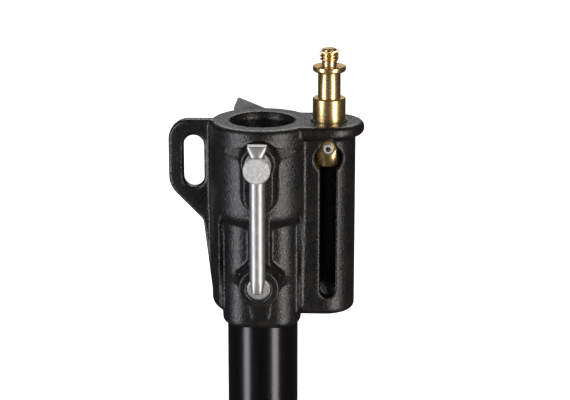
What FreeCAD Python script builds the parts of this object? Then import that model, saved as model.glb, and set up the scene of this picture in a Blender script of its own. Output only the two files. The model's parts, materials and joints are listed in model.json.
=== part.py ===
import FreeCAD, Part
import math
import os
import re
import Sketcher
from FreeCAD import Matrix, Placement, Rotation, Vector

# The head of a light stand: a black die-cast block bolted on a steel column. The block has a socket
# on top with a clamp screw in front, a brass stud that slides in a slotted housing at its right, a
# knob behind that locks the stud, and a loop for a safety cord at its left.
# X points right, -Y to the front and +Z up. The origin is the centre of the column's lower end.
# Sizes are in millimetres. A "drop" is a distance below the casting's top face, a "lift" one above
# its lower end and a "rise" one above the top face or the part's own middle.

SIZES = {
    # Column
    "tube_diameter": 35.0,
    "tube_wall": 1.8,
    "tube_below": 68.7,
    "tube_clearance": 0.05,
    "tube_chamfer": 0.4,
    "glue_groove_width": 2.0,
    "glue_groove_depth": 0.4,
    "plug_rim": 1.5,
    "plug_depth": 8.0,
    "plug_wall": 2.0,
    "plug_gap": 0.05,
    # Casting
    "casting_height": 101.3,
    "barrel_radius": 25.7,
    "barrel_rounding": 3.0,
    "ledge_drop": 44.0,
    "ledge_rounding": 8.0,
    "skirt_height": 8.1,
    "skirt_root": 20.1,
    "flank_half": 9.0,
    "flank_inner": 19.6,
    "flank_lift": 6.3,
    "flank_draft": 0.8,
    "flank_rounding": 5.0,
    "sleeve_half_width": 19.3,
    "sleeve_half_depth": 20.5,
    "sleeve_corner": 13.0,
    "sleeve_rounding": 3.0,
    "socket_diameter": 28.8,
    "socket_chamfer": 1.6,
    "socket_chamfer_depth": 3.0,
    "socket_depth": 48.0,
    "floor_thickness": 4.0,
    "floor_hole": 18.0,
    # Stud housing
    "stud_offset": 32.5,
    "housing_offset": 30.9,
    "housing_radius": 14.6,
    "housing_lift": 5.75,
    "housing_rounding": 3.0,
    "lip_radius": 17.2,
    "lip_thickness": 6.5,
    "lip_rounding": 2.8,
    "stud_clearance": 0.2,
    "stud_mouth": 0.8,
    "slot_width": 7.5,
    "slot_top": 7.0,
    "slot_lift": 14.7,
    "window_diameter": 13.5,
    "window_drop": 16.3,
    # Cord loop
    "lug_reach": 45.8,
    "lug_thickness": 6.0,
    "lug_rounding": 1.6,
    "lug_top_corner": 10.2,
    "lug_elbow_drop": 33.7,
    "lug_elbow_corner": 12.5,
    "lug_waist_reach": 29.0,
    "lug_waist_drop": 51.0,
    "lug_foot_reach": 24.2,
    "lug_foot_lift": 9.3,
    "loop_width": 10.0,
    "loop_height": 26.0,
    "loop_reach": 33.4,
    "loop_drop": 21.0,
    # Clamp boss, its tongue and its gussets
    "boss_reach": 19.1,
    "boss_root": 15.0,
    "clamp_drop": 13.8,
    "clamp_boss_radius": 8.4,
    "clamp_boss_base": 10.2,
    "tongue_drop": 31.2,
    "tongue_half": 7.15,
    "gusset_reach": 17.6,
    "gusset_tip": 1.4,
    "gusset_root": 10.5,
    "gusset_tip_depth": 19.5,
    "gusset_front": 31.0,
    "gusset_half": 4.6,
    "gusset_rise": 2.6,
    # Bolt bosses, their gussets, ribs and tails
    "bolt_lift": 25.3,
    "bolt_boss_radius": 9.9,
    "bolt_boss_base": 10.6,
    "low_gusset_reach": 14.6,
    "low_gusset_depth": 17.6,
    "low_gusset_half": 6.4,
    "low_gusset_rise": 0.3,
    "rib_half": 5.2,
    "roof_half": 11.6,
    "roof_over_bolt": 4.0,
    "tail_half": 5.4,
    "tail_tip_half": 3.4,
    "tail_lift": 5.3,
    "tail_depth": 26.5,
    "tail_tip_depth": 20.9,
    # Column bolt
    "bolt_diameter": 6.0,
    "bolt_clearance": 0.2,
    "bolt_head": 11.2,
    "bolt_head_height": 3.4,
    "bolt_head_chamfer": 1.0,
    "bolt_socket": 5.0,
    "bolt_socket_depth": 2.2,
    "bolt_tail": 1.6,
    "washer_diameter": 11.2,
    "washer_thickness": 1.2,
    "recess_diameter": 11.8,
    "recess_depth": 4.0,
    "nut_width": 10.0,
    "nut_height": 5.0,
    "nut_crown_slope": 0.44,
    "nut_bore_clearance": 0.05,
    # Clamp screw and its bar
    "head_diameter": 12.7,
    "head_front": 46.4,
    "head_back": 36.0,
    "edge_chamfer": 0.5,
    "screw_diameter": 10.0,
    "screw_clearance": 0.08,
    "insert_diameter": 12.8,
    "insert_length": 11.0,
    "insert_cover": 3.0,
    "passage_clearance": 0.3,
    "bar_diameter": 7.4,
    "bar_length": 72.2,
    "bar_clearance": 0.2,
    "flare_length": 4.9,
    "flare_diameter": 9.6,
    "flare_thickness": 4.8,
    "low_flare_length": 6.2,
    "low_flare_diameter": 8.8,
    "low_flare_thickness": 5.4,
    "bar_seat": 0.05,
    # Clamp pad
    "pad_diameter": 12.4,
    "pad_thickness": 3.6,
    "pad_gap": 0.3,
    "pad_clearance": 0.25,
    "nose_diameter": 6.0,
    "nose_clearance": 0.2,
    "nose_length": 2.4,
    "nose_end_gap": 0.25,
    "shoulder_gap": 0.2,
    "nose_rim": 0.4,
    "ring_groove": 0.6,
    "ring_play": 0.05,
    "ring_height": 0.7,
    "ring_outer": 8.0,
    # Stud and its pin
    "stud_diameter": 16.0,
    "stud_foot_drop": 21.7,
    "stud_base_rise": 11.3,
    "base_chamfer": 0.4,
    "stud_neck": 11.0,
    "stud_neck_rise": 24.1,
    "flange_rise": 26.9,
    "flange_chamfer": 0.8,
    "flange_top_chamfer": 0.2,
    "undercut_diameter": 7.2,
    "undercut_rise": 29.6,
    "thread_diameter": 9.5,
    "thread_rise": 34.6,
    "tip_rise": 35.4,
    "tip_diameter": 5.6,
    "stud_chamfer": 0.8,
    "stud_relief_length": 5.0,
    "stud_relief_depth": 0.3,
    "pin_drop": 10.9,
    "pin_diameter": 5.0,
    "pin_bore": 2.6,
    "pin_reach": 15.4,
    "pin_inside": 5.0,
    "sleeve_diameter": 7.0,
    "pin_sleeve_start": 8.1,
    "pin_sleeve_end": 12.8,
    # Stud lock
    "lock_angle": 26.0,
    "lock_drop": 13.0,
    "lock_boss_radius": 8.0,
    "lock_boss_base": 9.2,
    "lock_face_inset": 5.95,
    "lock_insert_length": 10.0,
    "lock_insert_diameter": 11.0,
    "lock_screw_diameter": 8.0,
    "lock_pad_diameter": 10.4,
    "lock_pad_start": 8.1,
    "lock_pad_thickness": 3.4,
    "lock_travel": 2.0,
    "lock_nose_diameter": 4.6,
    "lock_ring_outer": 6.4,
    "knob_inset": 3.35,
    "hub_length": 9.4,
    "hub_radius": 7.2,
    "hub_chamfer": 1.0,
    "wing_root": 4.0,
    "wing_root_start": 1.6,
    "wing_root_end": 8.4,
    "wing_reach": 31.2,
    "wing_tip_start": 4.9,
    "wing_tip_end": 15.4,
    "wing_tilt": 24.0,
    "wing_root_half": 3.0,
    "wing_tip_half": 3.6,
    "knob_screw_depth": 7.0,
    "cap_diameter": 11.0,
    "cap_thickness": 1.2,
    "cap_crown": 0.3,
}

TOP = "(tube_below + casting_height)"
BOLT_DROP = "(casting_height - bolt_lift)"
BAR_Y = "-(head_front + head_back) / 2"

# How far the bosses' faces stand from the socket's axis: far enough past its wall for the clamp's
# pad, screw and bush
BOSS_FACE = "(socket_diameter / 2 + boss_reach)"

# Along the lock screw, from the stud's axis: the barrel's back, then the boss's face and the knob's
# hub, which follow it so that the wings clear the barrel as they turn
BARREL_BACK = "(barrel_radius + stud_offset * sin(lock_angle))"
LOCK_FACE = f"({BARREL_BACK} - lock_face_inset)"
HUB_START = f"({BARREL_BACK} - knob_inset)"
HUB_END = f"({HUB_START} + hub_length)"

# How far a cutting form runs past a face, and how close counts as the same place
PAST = 1.0
NEAR = 0.01

# The turn in degrees that brings a hexagon's corner straight down
HEX_TURN = 30

TO_FRONT = Rotation(Vector(1, 0, 0), 90)
TO_BACK = Rotation(Vector(1, 0, 0), -90)

doc = FreeCAD.newDocument("StandHead")
sheet = doc.addObject("Spreadsheet::Sheet", "Sizes")
for row, (alias, size) in enumerate(SIZES.items(), start=1):
    sheet.set(f"A{row}", alias.replace("_", " "))
    sheet.set(f"B{row}", str(size))
    sheet.setAlias(f"B{row}", alias)
doc.recompute()

nodes = {}


def sized(formula):
    """The formula with each size's name pointing at its cell."""
    return re.sub(
        r"[a-z][a-z_]*", lambda m: f"Sizes.{m[0]}" if m[0] in SIZES else m[0], str(formula)
    )


def value(formula):
    """The formula's number, for what has to be known while the document is built."""
    return float(sheet.evalExpression(sized(formula)))


def bind(thing, **formulas):
    """Ties properties of a document object to the sheet."""
    for name, formula in formulas.items():
        thing.setExpression(name, sized(formula))
    return thing


def place(thing, x=0, y=0, z=0, turn=None):
    """Turns a thing about its own origin and ties that origin's place to the sheet."""
    if turn is not None:
        thing.Placement = Placement(Vector(), turn)
    for axis, formula in (("x", x), ("y", y), ("z", z)):
        thing.setExpression(f"Placement.Base.{axis}", sized(formula))
    return thing


def below_top(drop):
    return f"{TOP} - ({drop})"


def cylinder(name, diameter, height, **where):
    thing = bind(doc.addObject("Part::Cylinder", name), Radius=f"({diameter}) / 2", Height=height)
    return place(thing, **where)


def cone(name, base_radius, end_radius, height, **where):
    thing = doc.addObject("Part::Cone", name)
    bind(thing, Radius1=base_radius, Radius2=end_radius, Height=height)
    return place(thing, **where)


def block(name, x_range, y_range, z_range):
    """A box between two formulas along each axis."""
    thing = doc.addObject("Part::Box", name)
    ranges = (("Length", x_range), ("Width", y_range), ("Height", z_range))
    bind(thing, **{side: f"({high}) - ({low})" for side, (low, high) in ranges})
    return place(thing, x_range[0], y_range[0], z_range[0])


def wedge(name, base, tip, start, end, turn, **where):
    """A block along its own Y whose section runs from base to tip, each (x low, x high, z low, z high)."""
    thing = doc.addObject("Part::Wedge", name)
    bind(thing, Xmin=base[0], Xmax=base[1], Zmin=base[2], Zmax=base[3])
    bind(thing, X2min=tip[0], X2max=tip[1], Z2min=tip[2], Z2max=tip[3], Ymin=start, Ymax=end)
    return place(thing, turn=turn, **where)


def fuse(name, parts):
    thing = doc.addObject("Part::MultiFuse", name)
    thing.Shapes = parts
    thing.Refine = True
    return thing


def cut(name, base, tool):
    thing = doc.addObject("Part::Cut", name)
    thing.Base = base
    thing.Tool = tool
    thing.Refine = True
    return thing


def common(name, base, tool):
    thing = doc.addObject("Part::Common", name)
    thing.Base = base
    thing.Tool = tool
    return thing


def mirrored(name, source, normal):
    thing = doc.addObject("Part::Mirroring", name)
    thing.Source = source
    thing.Normal = normal
    return thing


def origin_plane(body, role):
    return next(f for f in body.Origin.OriginFeatures if f.Role == role)


def outline(body, corners, role="XZ_Plane"):
    """A closed sketch of straight sides whose corners are held at (across, up) formulas."""
    sketch = body.newObject("Sketcher::SketchObject", f"{body.Name}Outline")
    sketch.AttachmentSupport = (origin_plane(body, role), [""])
    sketch.MapMode = "FlatFace"
    points = [Vector(value(across), value(up), 0) for across, up in corners]
    count = len(points)
    for i, point in enumerate(points):
        sketch.addGeometry(Part.LineSegment(point, points[(i + 1) % count]), False)
    for i in range(count):
        sketch.addConstraint(Sketcher.Constraint("Coincident", i, 2, (i + 1) % count, 1))
    for i, formulas in enumerate(corners):
        for kind, formula, number in zip(("DistanceX", "DistanceY"), formulas, points[i]):
            held = sketch.addConstraint(Sketcher.Constraint(kind, -1, 1, i, 1, number))
            sketch.setExpression(f"Constraints[{held}]", sized(formula))
    return sketch


def turned(name, corners, **where):
    """A body turned about its own Z from an outline of (radius, height) corners."""
    body = doc.addObject("PartDesign::Body", name)
    sketch = outline(body, corners)
    spin = body.newObject("PartDesign::Revolution", f"{name}Spin")
    spin.Profile = sketch
    spin.ReferenceAxis = (sketch, ["V_Axis"])
    spin.Angle = 360
    return place(body, **where)


def round_edges(body, radius, chosen):
    """Rounds the edges of the body's last feature that the test picks."""
    doc.recompute()
    feature = body.Tip
    picked = [f"Edge{i}" for i, edge in enumerate(feature.Shape.Edges, start=1) if chosen(edge)]
    rounding = body.newObject("PartDesign::Fillet", f"{body.Name}Rounding")
    rounding.Base = (feature, picked)
    return bind(rounding, Radius=radius)


def level(edge, height):
    """Whether an edge lies wholly at one height of its own feature."""
    box = edge.BoundBox
    return abs(box.ZMin - height) < NEAR and abs(box.ZMax - height) < NEAR


def upright(edge, x, z):
    """Whether an edge runs along Y at the given place of its own feature."""
    box = edge.BoundBox
    return max(box.XLength, box.ZLength) < NEAR and abs(box.XMin - x) + abs(box.ZMin - z) < NEAR


def keep(name, thing):
    """Makes a finished piece a node of the model."""
    thing.Label = name
    nodes[name] = thing
    return thing


# Column


def column_tube():
    outer = "tube_diameter / 2"
    inner = f"{outer} - tube_wall"
    end = below_top("socket_depth + floor_thickness + plug_rim")
    groove = f"{outer} - glue_groove_depth"
    corners = [
        (inner, 0),
        (outer, 0),
        (outer, "tube_below"),
        (groove, "tube_below"),
        (groove, "tube_below + glue_groove_width"),
        (outer, "tube_below + glue_groove_width"),
        (outer, f"{end} - tube_chamfer"),
        (f"{outer} - tube_chamfer", end),
        (inner, end),
    ]
    tube = turned("TubeTurned", corners)
    keep("column_tube", cut("ColumnTube", tube, bolt_passage("TubeBoltHole")))


def column_plug():
    """The cap in the column's upper end, which meets the casting's floor."""
    rim_top = below_top("socket_depth + floor_thickness")
    rim_bottom = f"{rim_top} - plug_rim"
    skirt = f"{rim_bottom} - plug_depth"
    outer = "tube_diameter / 2"
    stem = f"{outer} - tube_wall - plug_gap"
    hollow = f"{stem} - plug_wall"
    corners = [
        (0, rim_top),
        (0, f"{rim_bottom} - plug_wall"),
        (hollow, f"{rim_bottom} - plug_wall"),
        (hollow, skirt),
        (stem, skirt),
        (stem, rim_bottom),
        (outer, rim_bottom),
        (outer, rim_top),
    ]
    keep("column_plug", turned("ColumnPlug", corners))


def bolt_passage(name):
    """The hole that the column bolt passes, from front to back."""
    half = f"{BOSS_FACE} + {PAST}"
    diameter = "bolt_diameter + 2 * bolt_clearance"
    height = f"2 * ({half})"
    return cylinder(name, diameter, height, y=half, z=below_top(BOLT_DROP), turn=TO_FRONT)


def column_bolt():
    seat = f"{BOSS_FACE} - recess_depth + washer_thickness"
    head_top = "bolt_head_height"
    head = "bolt_head / 2"
    shank = "bolt_diameter / 2"
    shank_end = f"2 * ({seat}) + nut_height + bolt_tail"
    corners = [
        (0, 0),
        (0, f"-({shank_end})"),
        (f"{shank} - edge_chamfer", f"-({shank_end})"),
        (shank, f"-({shank_end}) + edge_chamfer"),
        (shank, 0),
        (head, 0),
        (head, f"{head_top} - bolt_head_chamfer"),
        (f"{head} - bolt_head_chamfer", head_top),
        (0, head_top),
    ]
    place_here = dict(y=f"-({seat})", z=below_top(BOLT_DROP), turn=TO_FRONT)
    blank = turned("BoltTurned", corners, **place_here)
    socket = doc.addObject("Part::Prism", "BoltSocket")
    socket.Polygon = 6
    bind(socket, Circumradius="bolt_socket / 2 / cos(30)", Height="bolt_socket_depth")
    socket_y = f"-({seat} + {head_top} - bolt_socket_depth)"
    corner_down = TO_FRONT.multiply(Rotation(Vector(0, 0, 1), HEX_TURN))
    place(socket, y=socket_y, z=below_top(BOLT_DROP), turn=corner_down)
    keep("column_bolt", cut("ColumnBolt", blank, socket))


def washer(name, object_name, turn, side):
    """A plain washer on the recess floor of one bolt boss; side is - for the front, + for the back."""
    hole = "bolt_diameter + 2 * bolt_clearance"
    seat = f"{side}({BOSS_FACE} - recess_depth)"
    here = dict(y=seat, z=below_top(BOLT_DROP), turn=turn)
    disc = cylinder(f"{object_name}Disc", "washer_diameter", "washer_thickness", **here)
    bore = cylinder(f"{object_name}Bore", hole, "washer_thickness", **here)
    keep(name, cut(object_name, disc, bore))


def column_nut():
    seat = f"{BOSS_FACE} - recess_depth + washer_thickness"
    here = dict(y=seat, z=below_top(BOLT_DROP), turn=TO_BACK)
    hexagon = doc.addObject("Part::Prism", "NutHexagon")
    hexagon.Polygon = 6
    place(bind(hexagon, Circumradius="nut_width / 2 / cos(30)", Height="nut_height"), **here)
    crown_base = "nut_width / 2 + nut_crown_slope * nut_height"
    crown = cone("NutCrown", crown_base, "nut_width / 2", "nut_height", **here)
    corners_off = common("NutChamfered", hexagon, crown)
    bore = cylinder("NutBore", "bolt_diameter + 2 * nut_bore_clearance", "nut_height", **here)
    keep("column_nut", cut("ColumnNut", corners_off, bore))


# Casting forms


def barrel():
    """The round upper block, which slopes in to the sleeve under its lower edge; both rims are round."""
    corners = [
        (0, "-skirt_height"),
        ("skirt_root", "-skirt_height"),
        ("barrel_radius", 0),
        ("barrel_radius", "ledge_drop"),
        (0, "ledge_drop"),
    ]
    body = turned("Barrel", corners, z=below_top("ledge_drop"))
    round_edges(body, "ledge_rounding", lambda edge: level(edge, 0))
    round_edges(body, "barrel_rounding", lambda edge: level(edge, value("ledge_drop")))
    return body


def flanks():
    """The barrel's two sides, which run on down beside the sleeve, past a bay in front and behind."""
    end = "casting_height - flank_lift"
    start = "ledge_drop - ledge_rounding"
    height = f"{end} - ({start})"
    corners = [(0, 0), ("barrel_radius - flank_draft", 0), ("barrel_radius", height), (0, height)]
    body = turned("FlankTurned", corners, z=below_top(end))
    round_edges(body, "flank_rounding", lambda edge: level(edge, 0))
    across = ("-flank_inner", "flank_inner")
    depth = (f"-barrel_radius - {PAST}", "-flank_half")
    tall = (below_top(f"{end} + {PAST}"), below_top(f"{start} - {PAST}"))
    bay = block("FrontBay", across, depth, tall)
    behind = mirrored("BackBay", bay, Vector(0, 1, 0))
    return cut("Flanks", body, fuse("Bays", [bay, behind]))


def sleeve():
    """The lower collar around the column, a square with wide round corners."""
    body = doc.addObject("PartDesign::Body", "Sleeve")
    tall = f"casting_height - ledge_drop + {PAST}"
    slab = body.newObject("PartDesign::AdditiveBox", "SleeveBlock")
    bind(slab, Length="2 * sleeve_half_width", Width="2 * sleeve_half_depth", Height=tall)
    place(slab, "-sleeve_half_width", "-sleeve_half_depth", 0)

    def corner(edge):
        return edge.BoundBox.XLength + edge.BoundBox.YLength < NEAR

    round_edges(body, "sleeve_corner", corner)
    round_edges(body, "sleeve_rounding", lambda edge: level(edge, 0))
    return place(body, z="tube_below")


def side_form(name, radius, centre, low, high, rounding, rounded_levels):
    """A block from the barrel's axis to a half cylinder centred beside it, with rounded rims."""
    body = doc.addObject("PartDesign::Body", name)
    tall = f"({high}) - ({low})"
    slab = body.newObject("PartDesign::AdditiveBox", f"{name}Block")
    place(bind(slab, Length=centre, Width=f"2 * {radius}", Height=tall), 0, f"-{radius}", 0)
    end = body.newObject("PartDesign::AdditiveCylinder", f"{name}End")
    place(bind(end, Radius=radius, Height=tall), centre, 0, 0)
    heights = [value(tall) if rim == "top" else 0 for rim in rounded_levels]

    def rim_edge(edge):
        outside = edge.CenterOfMass.x > NEAR
        return outside and any(level(edge, height) for height in heights)

    round_edges(body, rounding, rim_edge)
    return place(body, z=low)


def cord_lug():
    """The flat lug with the loop, its lower edge running down the casting as a rib."""
    body = doc.addObject("PartDesign::Body", "Lug")
    foot_drop = "casting_height - lug_foot_lift"
    corners = [
        (0, 0),
        ("-lug_reach", 0),
        ("-lug_reach", "-lug_elbow_drop"),
        ("-lug_waist_reach", "-lug_waist_drop"),
        ("-lug_foot_reach", f"-({foot_drop})"),
        (0, f"-({foot_drop})"),
    ]
    pad = body.newObject("PartDesign::Pad", "LugPad")
    pad.Profile = outline(body, corners)
    pad.SideType = "Symmetric"
    bind(pad, Length="lug_thickness")
    body.Tip = pad
    reach = value("lug_reach")
    round_edges(body, "lug_top_corner", lambda edge: upright(edge, -reach, 0))
    elbow = -value("lug_elbow_drop")
    round_edges(body, "lug_elbow_corner", lambda edge: upright(edge, -reach, elbow))
    loop_half = "(loop_height - loop_width) / 2"
    tunnel = []
    for side in ("+", "-"):
        end = body.newObject("PartDesign::SubtractiveCylinder", f"LoopEnd{len(tunnel)}")
        bind(end, Radius="loop_width / 2", Height="2 * lug_thickness")
        middle = f"-loop_drop {side} {loop_half}"
        tunnel.append(place(end, "-loop_reach", "lug_thickness", middle, TO_FRONT))
    middle = body.newObject("PartDesign::SubtractiveBox", "LoopMiddle")
    bind(middle, Length="loop_width", Width="2 * lug_thickness", Height="loop_height - loop_width")
    place(middle, "-loop_reach - loop_width / 2", "-lug_thickness", f"-loop_drop - {loop_half}")
    half = value("lug_thickness") / 2
    inner = value("-barrel_radius + lug_rounding")
    foot = -value(foot_drop)

    def rim(edge):
        box = edge.BoundBox
        on_face = box.YLength < NEAR and abs(abs(box.YMin) - half) < NEAR
        return on_face and box.XMin < inner and abs(box.ZMin - foot) > NEAR

    round_edges(body, "lug_rounding", rim)
    return place(body, z=TOP)


def clamp_boss():
    """The clamp screw's boss and the tongue below it, both narrowing to the front."""
    deep = f"{BOSS_FACE} - boss_root"
    sides = (("Boss", "clamp_drop", "clamp_boss_radius"), ("Tongue", "tongue_drop", "tongue_half"))
    forms = []
    for name, drop, radius in sides:
        here = dict(y="-boss_root", z=below_top(drop), turn=TO_FRONT)
        forms.append(cone(f"Clamp{name}", "clamp_boss_base", radius, deep, **here))
    heights = (f"{TOP} - tongue_drop", f"{TOP} - clamp_drop")
    base = ("-clamp_boss_base", "clamp_boss_base", *heights)
    tip = ("-tongue_half", "tongue_half", *heights)
    turn = Rotation(Vector(0, 0, 1), 180)
    forms.append(wedge("TongueSides", base, tip, "boss_root", BOSS_FACE, turn))
    return forms


def gusset_pair(name, drop, half, rise, front, reach, tip_depth, tip_rise):
    """Two webs that run from a boss's sides out to the casting's side, thinning towards their tips."""
    middle = below_top(drop)
    base = (f"-({front})", "-boss_root", f"{middle} - {half} + {rise}", f"{middle} + {half} + {rise}")
    tip_middle = f"{middle} + {tip_rise}"
    tip_heights = (f"{tip_middle} - gusset_tip / 2", f"{tip_middle} + gusset_tip / 2")
    tip = (f"-({tip_depth})", "-gusset_root", *tip_heights)
    left = wedge(f"{name}Left", base, tip, 0, reach, Rotation(Vector(0, 0, 1), 90))
    return [left, mirrored(f"{name}Right", left, Vector(1, 0, 0))]


def bolt_boss_forms():
    """What stands on one side of the sleeve: rib, roof, bolt boss, gussets and tail."""
    here = dict(y="-boss_root", z=below_top(BOLT_DROP), turn=TO_FRONT)
    deep = f"{BOSS_FACE} - boss_root"
    boss = cone("BoltBoss", "bolt_boss_base", "bolt_boss_radius", deep, **here)
    depth = ("-barrel_radius", "-boss_root")
    roof_end = f"{BOLT_DROP} - roof_over_bolt"
    span = (below_top(roof_end), below_top(f"ledge_drop - {PAST}"))
    rib = block("Rib", ("-rib_half", "rib_half"), depth, span)
    down = Rotation(Vector(1, 0, 0), -90)
    roof_top = ("-rib_half", "rib_half", "-barrel_radius", "-boss_root")
    roof_bottom = ("-roof_half", "roof_half", "-barrel_radius", "-boss_root")
    roof_rise = "roof_half - rib_half"
    roof_place = dict(z=below_top(f"{roof_end} - ({roof_rise})"))
    roof = wedge("Roof", roof_top, roof_bottom, 0, roof_rise, down, **roof_place)
    tail_base = ("-tail_half", "tail_half", "-tail_depth", "-boss_root")
    tail_tip = ("-tail_tip_half", "tail_tip_half", "-tail_tip_depth", "-boss_root")
    tail_place = dict(z=below_top(BOLT_DROP))
    tail_long = "bolt_lift - tail_lift"
    tail = wedge("Tail", tail_base, tail_tip, 0, tail_long, down, **tail_place)
    webs = gusset_pair(
        "LowGusset",
        BOLT_DROP,
        "low_gusset_half",
        "0",
        "gusset_front",
        "low_gusset_reach",
        "low_gusset_depth",
        "low_gusset_rise",
    )
    return [boss, rib, roof, tail, *webs]


def lock_turn():
    """Turns a thing so that its own Z points back along the lock screw."""
    return Rotation(Vector(0, 0, 1), value("lock_angle")).multiply(TO_BACK)


def along_lock(distance):
    """Where the point at that distance from the stud's axis lies, along the lock screw."""
    return dict(
        x=f"stud_offset - ({distance}) * sin(lock_angle)",
        y=f"({distance}) * cos(lock_angle)",
        z=below_top("lock_drop"),
        turn=lock_turn(),
    )


def lock_boss():
    start = "stud_diameter / 2"
    base, tip = "lock_boss_base", "lock_boss_radius"
    return cone("LockBoss", base, tip, f"{LOCK_FACE} - ({start})", **along_lock(start))


# Casting hollows


def socket_hollows():
    """The socket, its chamfer, the drain in its floor and the column's seat."""
    seat = "tube_diameter + 2 * tube_clearance"
    ceiling = "casting_height - socket_depth - floor_thickness"
    chamfer_base = "socket_diameter / 2"
    return [
        cylinder("Socket", "socket_diameter", f"socket_depth + {PAST}", z=below_top("socket_depth")),
        cone(
            "SocketChamfer",
            chamfer_base,
            f"{chamfer_base} + socket_chamfer",
            "socket_chamfer_depth",
            z=below_top("socket_chamfer_depth"),
        ),
        cylinder("FloorHole", "floor_hole", "casting_height", z="tube_below"),
        cylinder("ColumnSeat", seat, f"{ceiling} + {PAST}", z=f"tube_below - {PAST}"),
    ]


def stud_hollows():
    """The stud's bore with its mouth, the slot in front of it and the slot's round window."""
    bore = "stud_diameter + 2 * stud_clearance"
    mouth = f"({bore}) / 2"
    out = f"housing_radius + {PAST}"
    bore_long = f"casting_height + 2 * {PAST}"
    half = "slot_width / 2"
    slot_bottom = "casting_height - slot_lift"
    through = cylinder("StudBore", bore, bore_long, x="stud_offset", z=f"tube_below - {PAST}")
    cone_place = dict(x="stud_offset", z=below_top("stud_mouth"))
    rim = cone("StudMouth", mouth, f"{mouth} + stud_mouth", "stud_mouth", **cone_place)
    front = dict(x="stud_offset", turn=TO_FRONT)
    upper = cylinder("SlotTop", "slot_width", out, z=below_top(f"slot_top + {half}"), **front)
    lower = cylinder("SlotBottom", "slot_width", out, z=below_top(f"{slot_bottom} - {half}"), **front)
    window = cylinder("Window", "window_diameter", out, z=below_top("window_drop"), **front)
    across = (f"stud_offset - {half}", f"stud_offset + {half}")
    up = (below_top(f"{slot_bottom} - {half}"), below_top(f"slot_top + {half}"))
    middle = block("SlotMiddle", across, (f"-({out})", 0), up)
    return [through, rim, upper, lower, window, middle]


def clamp_hollows():
    """The seats of the clamp screw's insert, shank and pad."""
    socket = "socket_diameter / 2"
    pocket_deep = f"{socket} + pad_gap + pad_thickness + shoulder_gap + pad_clearance"
    z = below_top("clamp_drop")
    seat = dict(z=z, turn=TO_FRONT)
    bush = cylinder("InsertSeat", "insert_diameter", f"{BOSS_FACE} - insert_cover", y=0, **seat)
    shank = "screw_diameter + 2 * passage_clearance"
    passage = cylinder("ScrewPassage", shank, BOSS_FACE, y=0, **seat)
    pocket = cylinder("PadPocket", "pad_diameter + 2 * pad_clearance", pocket_deep, y=0, **seat)
    return [bush, passage, pocket]


def bolt_hollows():
    """The bolt's hole and the recesses in the two bolt bosses."""
    z = below_top(BOLT_DROP)
    floor = f"{BOSS_FACE} - recess_depth"
    deep = f"recess_depth + {PAST}"
    return [
        bolt_passage("CastingBoltHole"),
        cylinder("FrontRecess", "recess_diameter", deep, y=f"-({floor})", z=z, turn=TO_FRONT),
        cylinder("BackRecess", "recess_diameter", deep, y=floor, z=z, turn=TO_BACK),
    ]


def lock_hollows():
    """The seats of the lock screw's insert, shank and pad."""
    far = "lock_pad_start + lock_pad_thickness + lock_travel + shoulder_gap + pad_clearance"
    pocket = "lock_pad_diameter + 2 * pad_clearance"
    shank = "lock_screw_diameter + 2 * passage_clearance"
    start = f"{LOCK_FACE} - lock_insert_length"
    deep = f"lock_insert_length + {PAST}"
    return [
        cylinder("LockPocket", pocket, far, **along_lock("0")),
        cylinder("LockPassage", shank, LOCK_FACE, **along_lock("0")),
        cylinder("LockSeat", "lock_insert_diameter", deep, **along_lock(start)),
    ]


def head_casting():
    lip_low, lip_high = below_top("lip_thickness"), TOP
    housing_high = below_top("lip_thickness / 2")
    rims = ("top", "bottom")
    forms = [
        barrel(),
        flanks(),
        sleeve(),
        side_form("Lip", "lip_radius", "stud_offset", lip_low, lip_high, "lip_rounding", rims),
        side_form(
            "Housing",
            "housing_radius",
            "housing_offset",
            "tube_below + housing_lift",
            housing_high,
            "housing_rounding",
            ("bottom",),
        ),
        cord_lug(),
        lock_boss(),
        *clamp_boss(),
        *gusset_pair(
            "Gusset",
            "clamp_drop",
            "gusset_half",
            "gusset_rise",
            "gusset_front",
            "gusset_reach",
            "gusset_tip_depth",
            "gusset_rise",
        ),
    ]
    front = bolt_boss_forms()
    back = [mirrored(f"{form.Name}Behind", form, Vector(0, 1, 0)) for form in front]
    solid = fuse("CastingSolid", forms + front + back)
    tools = socket_hollows() + stud_hollows() + clamp_hollows() + bolt_hollows() + lock_hollows()
    keep("head_casting", cut("HeadCasting", solid, fuse("CastingHollows", tools)))


# Clamp screw


def clamp_screw():
    """The clamp screw, from its pad's ring groove out to its round head."""
    pad_back = "socket_diameter / 2 + pad_gap + pad_thickness"
    shoulder = f"{pad_back} + shoulder_gap"
    corners = screw_end(shoulder, "nose_diameter", "screw_diameter")
    head = "head_diameter / 2"
    corners += [
        ("screw_diameter / 2", "head_back"),
        (head, "head_back"),
        (head, "head_front - edge_chamfer"),
        (f"{head} - edge_chamfer", "head_front"),
        (0, "head_front"),
    ]
    blank = turned("ClampScrewTurned", corners, z=below_top("clamp_drop"), turn=TO_FRONT)
    hole = "bar_diameter + 2 * bar_clearance"
    middle = below_top("clamp_drop + head_diameter")
    tunnel = cylinder("BarHole", hole, "2 * head_diameter", y=BAR_Y, z=middle)
    keep("clamp_screw", cut("ClampScrew", blank, tunnel))


def screw_end(shoulder, nose, shank):
    """The corners of a screw's inner end: a nose with a groove for its ring, then the shoulder."""
    tip = f"{shoulder} - nose_length"
    groove = f"{nose} / 2 - ring_groove"
    groove_start = f"{tip} + nose_rim"
    groove_end = f"{groove_start} + ring_height + 2 * ring_play"
    return [
        (0, tip),
        (f"{nose} / 2", tip),
        (f"{nose} / 2", groove_start),
        (groove, groove_start),
        (groove, groove_end),
        (f"{nose} / 2", groove_end),
        (f"{nose} / 2", shoulder),
        (f"{shank} / 2", shoulder),
    ]


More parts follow.
